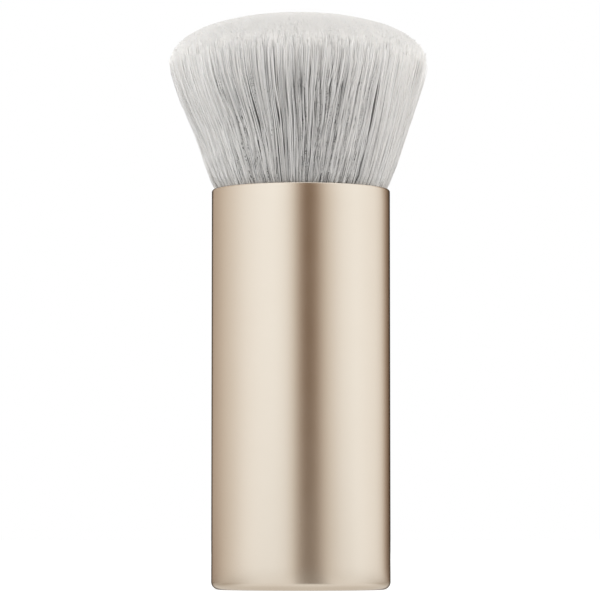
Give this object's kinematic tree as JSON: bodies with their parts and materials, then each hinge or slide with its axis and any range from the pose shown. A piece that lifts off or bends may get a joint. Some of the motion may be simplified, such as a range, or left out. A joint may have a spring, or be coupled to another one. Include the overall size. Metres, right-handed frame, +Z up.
{
  "type": "buffing brush",
  "caption": "Short buffing brush: a plain round metal barrel holding a dense, flared head of pale bristles with a domed top, for working powder into skin.",
  "frame": {"origin": "middle of the barrel's flat base, on the surface that the brush stands on", "axes": "+Z up along the barrel's axis, towards the bristles; the brush is round, so +X and +Y are free"},
  "size_m": [0.0434, 0.0434, 0.0966],
  "materials": {
    "anodised_aluminium": "satin champagne anodised",
    "foam_tape": "matt foam",
    "plated_steel": "zinc plated",
    "core_plastic": "natural moulded",
    "plain_aluminium": "drawn, not coated",
    "potting_resin": "clear amber",
    "binding_tape": "woven tape",
    "bristle_fibre": "soft synthetic fibre, pale grey with white tips"
  },
  "bodies": {
    "root": {"handle_shell": "anodised_aluminium", "weight_pad": "foam_tape", "base_weight": "plated_steel", "inner_core": "core_plastic", "bristle_cup": "plain_aluminium", "resin_plug": "potting_resin", "root_band": "binding_tape", "bristle_knot": "bristle_fibre"}
  },
  "joints": []
}
